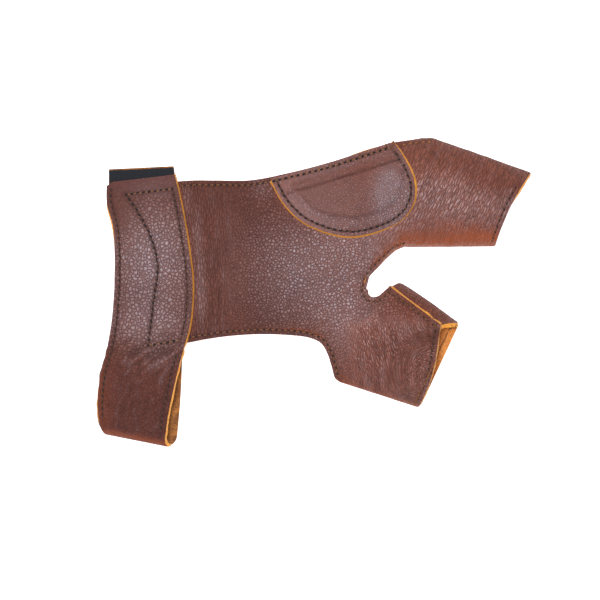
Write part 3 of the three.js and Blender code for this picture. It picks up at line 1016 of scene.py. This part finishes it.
def stitches(name, seams, tree):
    """Sewn thread: a short length between each two needle holes, sunk into the leather."""
    points, faces, finish = [], [], []
    looks = sorted({look for _, look in seams})
    rng = random.Random(name)
    for seam, look in seams:
        hole_length, hole_width = seam_looks[look][2:]
        slot = 2 * looks.index(look)
        path = along(seam[:, :2], spacing=stitch_pitch)
        for a, b in zip(path[:-1], path[1:]):
            spot, normal = straight_down(tree, *a)
            other, _ = straight_down(tree, *b)
            if spot is None or other is None:
                continue
            spot, other = np.array(spot), np.array(other)
            way = other - spot
            span = np.linalg.norm(way)
            way /= span
            n = np.array(normal)
            side = np.cross(n, way)
            side /= np.linalg.norm(side)
            lean = rng.uniform(-0.12, 0.12)
            slanted = way + side * rng.uniform(0.1, 0.35)
            add_hole_shade(points, faces, spot, n, slanted, side, hole_length, hole_width)
            finish += [slot + 1] * (len(faces) - len(finish))
            rings = []
            for i in range(tube_rings):
                t = i / (tube_rings - 1)
                bulge = math.sin(math.pi * t)
                middle = spot + way * span * lerp(0.2, 0.8, t)
                centre = middle + n * (0.26 * bulge - 0.14) + side * lean * bulge
                rings.append(tube_ring(centre, side, n, thread_radius * (0.62 + 0.38 * bulge), 1.2))
            add_tube(points, faces, rings)
            finish += [slot] * (len(faces) - len(finish))
    finishes = [part for look in looks for part in seam_looks[look][:2]]
    return make_piece(name, np.array(points), faces, finishes, finish)


# Spots that shine: glossier, as on leather rubbed by the hand, and with painted sheen in the base colour.
# Each has its middle as shares of palm_length and palm_width, reach in plan and strength
panel_shine = [
    ((0.66, -0.05), (26, 24), 1.0), ((1.02, 0.08), (17, 12), 0.95), ((1.42, 0.4), (20, 12), 0.8),
    ((0.91, -0.36), (14, 17), 0.8), ((0.41, 0.455), (5, 5), 0.5),
    ((-0.02, 0.38), (2, 8), 0.4), ((0.04, 0.15), (2.2, 12), 0.5), ((0.06, -0.2), (2.2, 14), 0.62),
]
patch_shine = [((1.14, 0.42), (7, 12), 0.9), ((0.8, 0.35), (34, 24), 0.4)]
strap_shine = [
    ((-0.22, 0.02), (20, 27), 1.0), ((-0.24, -0.4), (22, 9), 0.55), ((-0.18, -0.58), (10, 6), 0.25),
]


thumb_swirl = palm_point((1.375, -0.69))


def near_swirl(p):
    return smooth((21 - np.hypot(*(p[:, :2] - thumb_swirl[:2]).T)) / 12)


def draw_out(skin, on_finger=False, on_thumb=False):
    """Where the grain is drawn into ridges: how many ridges across and along each point lies."""
    p = skin.points
    across = (p @ turned(4)) / 1.0
    along_it = (p @ turned(94)) / 3.4
    across = np.where(on_finger, (p @ turned(-27)) / 1.05, across)
    along_it = np.where(on_finger, (p @ turned(63)) / 4.2, along_it)
    straight = p @ turned(14)
    around = (thumb_swirl @ turned(14)) - np.hypot(*(p[:, :2] - thumb_swirl[:2]).T)
    away = p - thumb_swirl
    angle = np.arctan2(away @ turned(225), away @ turned(135))
    across = np.where(on_thumb, lerp(straight, around, near_swirl(p)) / 0.85, across)
    along_it = np.where(on_thumb, lerp(p @ turned(104), -12 * angle, near_swirl(p)) / 3.2, along_it)
    skin.fields["across"] = across
    skin.fields["along"] = along_it


def panel_look(skin):
    """What the finish reads: where the leather is drawn tight, glossy or paler; painted sheen where it
    shines, painted shade on faces turned towards +y, and orange on faces turned down that is partly pull-up
    colour and partly painted glow.
    """
    p, n = skin.points, skin.normals()
    wrist = smooth((30 - p[:, 0]) / 22)
    finger = smooth((p[:, 0] - 0.98 * palm_length) / 10) * smooth((p[:, 1] + 6) / 8)
    thumb_side = smooth((p[:, 0] - 0.82 * palm_length) / 14) * smooth((-0.3 * palm_width - p[:, 1]) / 9)
    skin.fields["pull"] = np.clip(0.8 * wrist + 0.85 * finger + 0.9 * thumb_side, 0, 1)
    draw_out(skin, finger > 0.01, thumb_side > 0.01)
    # Orange on faces turned down: partly pull-up colour, partly painted glow.
    skin.fields["tan"] = smooth((-n[:, 1] - 0.2 - 0.18 * thumb_side) / 0.6)
    skin.fields["tan"] = np.clip(skin.fields["tan"] + spots(p, [((1.62, 0.13), (13, 5), 0.4)]), 0, 1)
    # Shine spots give gloss and painted sheen; faces turned towards +y get less of both and a darker tone, a
    # painted shade.
    gloss_and_sheen_spots = spots(p, panel_shine)
    shine = (gloss_and_sheen_spots + 0.45 * finger + 0.6 * thumb_side) * (1 - 0.7 * smooth((n[:, 1] - 0.08) / 0.3))
    skin.fields["shine"] = np.clip(0.2 + shine, 0, 1)
    # Painted sheen on the finger's ridges except where they turn towards +y, on the thumb and over the shine
    # spots.
    drawn = 0.46 * finger * (1 - smooth((n[:, 1] - 0.05) / 0.3)) + 0.2 * thumb_side
    skin.fields["bloom"] = np.clip(gloss_and_sheen_spots * (1 - 0.75 * np.maximum(finger, thumb_side)), 0, 1) ** 1.3 + drawn
    skin.fields["bloom"] *= 1 - 0.8 * skin.fields["tan"]
    # Dye paler towards the fingers and darker on the thumb side, plus painted sheen through the shine.
    tone = 0.2 + 0.5 * smooth((p[:, 0] - 40) / 50) - 0.15 * thumb_side + 0.4 * shine
    skin.fields["tone"] = np.clip(tone, 0, 1)


def off_the_table(heights, p):
    """Heights faded out towards the strap and where the leather lies down."""
    return heights * smooth((p[:, 0] - 3) / 8) * smooth((p[:, 2] - 2.5) / 3)


def panel_furrows(p):
    """Furrows that run across the finger, round the thumb's end and down the wrist."""
    wrist = smooth((30 - p[:, 0]) / 18) * smooth((p[:, 0] - 2) / 5)
    finger = smooth((p[:, 0] - 1.02 * palm_length) / 12) * smooth((p[:, 1] + 4) / 8)
    thumb_side = smooth((p[:, 0] - 0.84 * palm_length) / 12) * smooth((-0.26 * palm_width - p[:, 1]) / 8)
    ringing = near_swirl(p)
    furrow = 0.22 * thumb_side * ringing * waves(ringed(p, thumb_swirl, 2.0, 8), 1.0)
    furrow += 0.26 * thumb_side * (1 - ringing) * waves(laid_along(p, 104, 2.2, 9), 1.0, 4.1)
    furrow += 0.16 * finger * waves(laid_along(p, 63, 1.8, 9), 1.0, 2.2)
    furrow += 0.2 * wrist * waves(laid_along(p, 88, 2.0, 12), 1.0, 7.7)
    return off_the_table(furrow, p)


def panel_swells(p):
    """Soft swells all over."""
    swell = waves(p, 17, 3.7) * 0.45 + waves(p, 7, 9.1) * 0.16 + waves(p, 3.6, 5.3) * 0.05
    return off_the_table(swell, p)


def furrow_shade_and_sheen(skin, furrow, deepest, dark, rubbed):
    """Paints shade into the bottoms of the furrows and a sheen onto their crests."""
    skin.fields["crease"] = np.maximum(skin.fields["crease"], dark * smooth(-furrow / deepest))
    skin.fields["bloom"] = np.clip(skin.fields["bloom"] + rubbed * smooth(furrow / deepest), 0, 1)


panel_furrow = panel_furrows(panel.points)
panel.push(panel_furrow + panel_swells(panel.points))
bare_tree = panel.tree()
# Painted shade in the pressed seam channels.
panel.fields["crease"] = 0.6 * press_seams(panel, panel_seams)
panel_look(panel)
furrow_shade_and_sheen(panel, panel_furrow, 0.2, 0.5, 0.22)
panel.round_rim()
hand_panel = panel.sheet("back_of_hand_leather", leather, [grain, flesh, edge])
mouth_line = inset(thumb[-1, thumb_columns + 4 :], 2.2)[:-14]
bare_top = top_line[top_line[:, 0] < patch_from * palm_length]
above_patch = top_line[top_line[:, 0] > patch_to * palm_length]
panel_stitches = stitches(
    "panel_stitches",
    [
        (bare_top, "light"), (above_patch, "amber"), (low_line, "light"), (crotch_line, "tan"),
        (thumb_end_line, "dots"), (index_end_line, "dots"), (mouth_line, "mouth"),
    ],
    sheet_tree(hand_panel),
)

# Knuckle patch and the stiffener under it

top_places = [section[0] for section in palm_sections] + [top for top, _ in index_web]
top_rail = flowing([palm_point(place) for place in top_places], evenly(240))


def top_edge(share):
    """A point just inside the panel's top edge, at a share of palm_length."""
    x = np.atleast_1d(share) * palm_length
    y = np.interp(x, top_rail[:, 0], top_rail[:, 1])
    slope = np.interp(x, top_rail[:, 0], np.gradient(top_rail[:, 1], top_rail[:, 0]))
    size = np.sqrt(1 + slope**2)
    return np.stack([x + patch_inset * slope / size, y - patch_inset / size, np.zeros_like(x)], axis=1)


patch_left, patch_right = top_edge(patch_from)[0], top_edge(patch_to)[0]
patch_chord = patch_right - patch_left
patch_down = np.array([patch_chord[1], -patch_chord[0], 0]) / np.linalg.norm(patch_chord)


def on_patch(share):
    return patch_left + patch_chord * share[0] + patch_down * share[1] * patch_depth


patch_rim = flowing([patch_left] + [on_patch(s) for s in patch_curve] + [patch_right], evenly(300))
stiffener_places = [stiffener_top[0]] + stiffener_curve + [stiffener_top[1]]
stiffener_rim = flowing([on_patch(s) for s in stiffener_places], evenly(200))


def lie_on(grid, tree):
    """Drops a grid onto a surface from above."""
    laid = grid.copy()
    for p in laid.reshape(-1, 3):
        hit = straight_down(tree, p[0], p[1])[0]
        p[2] = hit[2] if hit else 0.0
    return laid


def laid_skin(above, below, columns, tree, **fields):
    shares = evenly(columns)[None, :, None]
    grid = above[:, None, :] * (1 - shares) + below[:, None, :] * shares
    return Skin([lie_on(grid, tree)], **fields)


def patch_piece():
    rows = 120
    stops = eased(rows)
    rim = along(patch_rim, count=2000)[np.round(stops * 1999).astype(int)]
    top = top_edge(lerp(patch_from, patch_to, stops))
    columns = 62
    bevel = np.zeros((rows + 1, columns + 1))
    bevel[:, -1] = 0.5 * smooth((evenly(rows) - 0.03) / 0.02)
    skin = laid_skin(top, rim, columns, bare_tree, bevel=[bevel], bright=[bevel / 0.4])
    xy = skin.points[:, :2]
    d, _ = distance_to(stiffener_rim[::4].tolist() + [stiffener_rim[0]], xy)
    signed = np.where(inside(stiffener_rim[::4], xy), d, -d)
    cover = smooth((signed + 2.6) / 2.4)
    skin.push(seat_gap + leather + (stiffener_thickness + seat_gap) * cover)
    crease = np.stack([on_patch((0.06, 0.24)), on_patch((0.5, 0.235)), on_patch((1.0, 0.21))])
    d, _ = distance_to(crease, skin.points[:, :2])
    skin.push(-0.8 * bell(d / 0.7))
    # Painted shade at the bottom of the stiffener's step and along the crease line.
    step_foot_shade = 0.4 * bell((signed + 1.4) / 0.9) * smooth((d - 3) / 3)
    skin.fields["crease"] = np.maximum(step_foot_shade, 0.9 * bell(d / 0.45))
    skin.fields["cover"] = cover
    return skin


def patch_look(skin):
    """What the finish reads on the patch: smoother and darker over the stiffener, with painted sheen where it
    shines and an orange on faces turned down that is partly pull-up colour and partly painted glow.
    """
    cover = skin.fields.pop("cover")
    shine = np.clip(0.55 - 0.3 * cover + spots(skin.points, patch_shine), 0, 1)
    draw_out(skin)
    skin.fields.update(
        pull=0.5 * smooth((70 - skin.points[:, 0]) / 25),
        tan=smooth((-skin.normals()[:, 1] - 0.3) / 0.6) * 0.4,
        tone=1.0 - 0.35 * cover,
        slick=0.45 * cover,
        shine=shine,
        bloom=shine**2.4,
    )


patch = patch_piece()
patch_seam = along(inset(patch_rim, 2.1), 0.5)[4:-4]
patch_top_seam = inset(top_edge(lerp(patch_from, patch_to, evenly(80)))[2:-2], -1.5)
# Painted shade in the patch's seam channels.
patch_seam_shade = 0.7 * press_seams(patch, [patch_seam, patch_top_seam])
patch.fields["crease"] = np.maximum(patch.fields["crease"], patch_seam_shade)
patch_look(patch)
patch.round_rim()
patch_tree = patch.tree()
knuckle_patch = patch.sheet("knuckle_patch_leather", leather, [patch_grain, flesh, edge])
patch_stitches = stitches("patch_stitches", [(patch_seam, "bold"), (patch_top_seam, "two-tone")], patch_tree)


def thread_ends(name, ends):
    """Loose ends of thread, each a short tube bent up off the leather."""
    points, faces = [], []
    up = np.array((0, 0, 1.0))
    for start, finish_at in ends:
        a, b = palm_point(start), palm_point(finish_at)
        a[2] = b[2] = lie_on(np.array([[a]]), patch_tree)[0, 0, 2]
        side = np.cross((b - a) / np.linalg.norm(b - a), up)
        rings = []
        for t in evenly(tube_rings - 1):
            centre = lerp(a, b, t) + side * 0.5 * math.sin(math.pi * t) + (0, 0, 0.2 + 0.9 * t)
            rings.append(tube_ring(centre, side, up, loose_thread_radius))
        add_tube(points, faces, rings)
    return make_piece(name, np.array(points), faces, [seam_looks["tan"][0]])


end_places = [((1.143, 0.69), (1.155, 0.742)), ((1.104, 0.7), (1.11, 0.728))]
loose_ends = thread_ends("loose_thread_ends", end_places)

stiffener_skin = laid_skin(
    lerp(on_patch(stiffener_top[0]), on_patch(stiffener_top[1]), eased(40)[:, None]),
    along(stiffener_rim, count=400)[np.round(eased(40) * 399).astype(int)],
    16,
    bare_tree,
)
stiffener_skin.push(np.full(len(stiffener_skin.points), seat_gap + stiffener_thickness))
stiffener_skin.round_rim(0.05)
stiffener = stiffener_skin.sheet("stiffener_board", stiffener_thickness, [board] * 3)


# Wrist strap


def over_tab(xy):
    """1 where the strap lies on the tab of the hand panel, easing to 0 beyond the tab's edge."""
    x = np.interp(xy[..., 1], tab_edge[::-1, 1], tab_edge[::-1, 0])
    side = smooth((xy[..., 0] - x + tab_clear + tab_slope) / tab_slope)
    below = smooth((xy[..., 1] - tab_edge[-1, 1] + tab_clear + tab_slope) / tab_slope)
    return side * below


def strap_skin():
    columns = int(strap_width / strap_column)

    def rows(sections):
        shares = evenly(columns)[:, None]
        return [lerp(strap_point(left), strap_point(right), shares) for left, right in sections]

    front_rows = rows(strap_front)
    shares = evenly(columns)
    front_rows[0][:, 1] += strap_lip * smooth(shares / 0.09) * (1 - 0.5 * shares)
    front, _ = loft(front_rows, strap_cell)
    height = strap_height(front[..., 1])
    slack = smooth((height - stack_height) * 2)
    front[..., 2] = height - tab_relief * (1 - over_tab(front[..., :2])) * slack
    back, _ = loft(rows(strap_back), strap_cell)
    before, after = front[-1], back[0]
    way = before[-1, :2] - before[0, :2]
    outward = np.array([way[1], -way[0], 0]) / np.linalg.norm(way)
    corner = (way / np.linalg.norm(way)) * (fold_tuck * strap_width * (1 - evenly(columns)[:, None]) ** 3)
    corner = np.concatenate([corner, np.zeros((columns + 1, 1))], axis=1)
    bend = [
        lerp(before, after, (1 - math.cos(angle)) / 2)
        + outward * (loop_height / 2 * math.sin(angle))
        + corner * math.sin(angle)
        for angle in (math.pi * k / 24 for k in range(1, 24))
    ]
    grid = np.concatenate([front, np.stack(bend), back])[:, ::-1]
    bevel = np.zeros(grid.shape[:2])
    bevel[:, 0] = 0.48 * smooth((len(grid) - np.arange(len(grid))) / 60)
    bevel[: len(front), -1] = 0.3 * bell((front[:, 0, 1] - strap_top + 0.19 * strap_length) / 8)
    bevel[: len(front), -1] += 0.14 * smooth((strap_top - 0.74 * strap_length - front[:, 0, 1]) / 8)
    return Skin([grid], bevel=[bevel], bright=[bevel / 0.25]), front


strap, strap_front_grid = strap_skin()
strap_left_line = inset(strap_front_grid[:, 0], seam_inset)[4:, :2]
strap_right_line = inset(strap_front_grid[:, -1], -2.4)[:, :2]
tab_left_line = flowing([(x * strap_width, y * palm_width) for x, y in tab_seam], evenly(80))
tab_top, tab_bottom = tab_left_line[0, 1], tab_left_line[-1, 1]
beside_tab = (strap_right_line[:, 1] < tab_top + 2.6) & (strap_right_line[:, 1] > tab_bottom + 2.2)
tab_right_line = strap_right_line[beside_tab]
tab_across = np.stack([tab_right_line[0], tab_left_line[0]])
tab_foot = np.stack([tab_left_line[-1], tab_right_line[-1]])
low_right = strap_right_line[strap_right_line[:, 1] < -palm_width / 2 - 6]
strap_seams = [strap_left_line, tab_left_line, tab_across, tab_foot, tab_right_line, low_right]


def press_strap():
    """As on the hand panel, but only on the strap's front half."""
    seams = [(seam, 1.3, 1.15) if seam is tab_left_line else (seam, 1.0, 0.85) for seam in strap_seams]
    sunk = channels(strap, seams)
    front_side = smooth((strap.points[:, 2] - 5) / 1.0) * (strap.normals()[:, 2] > 0.2)
    strap.push(-strap_press_depth * sunk * front_side)
    return sunk * front_side


def strap_furrows(p):
    """Furrows below the tab, where the strap is free to bend."""
    below = spots(p, [((-0.2, -0.58), (15, 9), 1.0)])
    low = smooth((-palm_width / 2 - p[:, 1]) / 10)
    furrow = 0.5 * below * waves(laid_along(p, 38, 1.5, 11), 1.0, 3.3)
    furrow += 0.3 * below * waves(laid_along(p, 22, 3.0, 14), 1.0, 6.9)
    furrow += 0.24 * low * waves(laid_along(p, 76, 2.0, 4), 1.0, 8.8)
    furrow += 0.3 * below * waves(laid_along(p, -35, 3.0, 9), 1.0, 6.1)
    return furrow * smooth((p[:, 2] - 6.5) / 3)


def strap_swells(p):
    return (waves(p, 15, 1.3) * 0.28 + waves(p, 6, 5.9) * 0.1) * smooth((p[:, 2] - 6.5) / 3)


def strap_look(skin):
    """What the finish reads on the strap, with painted sheen where it shines and an orange on faces turned
    down that is partly pull-up colour and partly painted glow.
    """
    p, n = skin.points, skin.normals()
    low = smooth((-palm_width / 2 - p[:, 1]) / 12)
    head = smooth((p[:, 1] - 0.37 * palm_width) / 5)
    left = smooth((-30 - p[:, 0]) / 14)
    rubbed = spots(p, [((-0.4, 0.33), (9, 13), 0.9)])
    slick = np.maximum(head, rubbed)
    shine = np.clip(spots(p, strap_shine), 0, 1)
    draw_out(skin)
    skin.fields.update(
        pull=0.35 * low,
        slick=slick,
        tan=np.maximum(0.7 * smooth((-n[:, 1] - 0.2) / 0.6), 0.35 * low * left),
        shine=shine,
        tone=0.15 + 0.6 * shine * (1 - 0.8 * slick) - 0.13 * head,
        bloom=shine**1.3 * (1 - rubbed),
    )


strap_furrow = strap_furrows(strap.points)
strap.push(strap_furrow + strap_swells(strap.points))
# Painted shade in the strap's seam channels.
strap.fields["crease"] = 0.7 * press_strap()
strap_look(strap)
furrow_shade_and_sheen(strap, strap_furrow, 0.36, 0.9, 0.3)
strap.round_rim()
strap_tree = strap.tree()
wrist_strap = strap.sheet("wrist_strap_leather", leather, [strap_grain, strap_flesh, edge])
strap_stitches = stitches(
    "strap_stitches",
    [(strap_left_line, "plain"), (tab_left_line, "bold"), (tab_across, "two-tone"), (tab_right_line, "plain"),
     (tab_foot, "two-tone"), (low_right, "plain")],
    strap_tree,
)


# Closing tapes


def tape_piece(name, from_drop, length, height):
    a, b, c, d = tape_corners(from_drop, length)
    across = evenly(40)[:, None, None]
    down = evenly(28)[None, :, None]
    top = lerp(lerp(a, b, down), lerp(d, c, down), across)
    top[..., 2] = height + tape
    skin = Skin([top])
    skin.round_rim(0.12, 1.0)
    return skin.sheet(name, tape, [tape_black] * 3, bevel=0.0)


hook_height = leather + seat_gap
loop_height_at = hook_height + tape + seat_gap
hook_tape = tape_piece("hook_tape_strip", tape_setback, hook_length, hook_height)
loop_tape = tape_piece("loop_tape_strip", strap_overhang, loop_length, loop_height_at)

# What stands for what

for piece, node, slot in (
    (hand_panel, "hand_panel", "leather"),
    (knuckle_patch, "knuckle_patch", "leather"),
    (stiffener, "knuckle_stiffener", "stiffener"),
    (wrist_strap, "wrist_strap", "leather"),
    (hook_tape, "hook_tape", "tape"),
    (loop_tape, "loop_tape", "tape"),
):
    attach(piece, "root")
    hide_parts(node)
for piece in (panel_stitches, patch_stitches, strap_stitches, loose_ends):
    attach(piece, "root")

# Floor, light and camera

lamp_place = (-0.22, 0.15, 2.4)
lamp_size = (0.86, 0.86)
lamp_power = 62
sky_strength = 0.14


def floor_piece():
    mesh = bpy.data.meshes.new("floor")
    half = 3.0
    z = -0.02 * MM
    corners = [(x * half, y * half, z) for x, y in ((-1, -1), (1, -1), (1, 1), (-1, 1))]
    mesh.from_pydata(corners, [], [(0, 1, 2, 3)])
    f = Finish("floor paper")
    f.set(Base_Color=(0.9, 0.9, 0.9, 1.0), Roughness=0.9, Specular_IOR_Level=0.1)
    f.set(Emission_Color=(1.0, 1.0, 1.0, 1.0), Emission_Strength=0.9)
    mesh.materials.append(f.material)
    piece = new_object("floor", mesh)


def softbox(name, place, size, power):
    lamp = bpy.data.lights.new(name, "AREA")
    lamp.shape = "RECTANGLE"
    lamp.size, lamp.size_y = size
    lamp.energy = power
    lamp.color = (0.92, 0.97, 1.04)
    body = new_object(name, lamp)
    body.location = place
    body.rotation_euler = (-Vector(place)).to_track_quat("-Z", "Y").to_euler()


floor_piece()
softbox("softbox_above", lamp_place, lamp_size, lamp_power)

world = bpy.data.worlds.new("studio")
world.use_nodes = True
world.node_tree.nodes["Background"].inputs["Color"].default_value = (0.96, 0.97, 1.0, 1.0)
world.node_tree.nodes["Background"].inputs["Strength"].default_value = sky_strength
bpy.context.scene.world = world

photo_scale = 0.44
frame_pixels = 600
glove_middle = (314.7, 292.3)
sensor = 36
view_centre = Vector((
    (frame_pixels / 2 - glove_middle[0]) * photo_scale * MM,
    (glove_middle[1] - frame_pixels / 2) * photo_scale * MM,
    0.0,
))
camera_height = 2.0
eye_plane = 0.006
camera = bpy.data.cameras.new("camera")
camera.sensor_width = sensor
camera.lens = sensor * (camera_height - eye_plane) / (frame_pixels * photo_scale * MM)
camera.dof.use_dof = False
viewer = new_object("camera", camera)
viewer.location = view_centre + Vector((0, 0, camera_height))
viewer.rotation_euler = (0, 0, 0)
bpy.context.scene.camera = viewer

view = bpy.context.scene.view_settings
view.view_transform = "Standard"
view.look = "None"
view.exposure = 0.0
view.gamma = 1.0
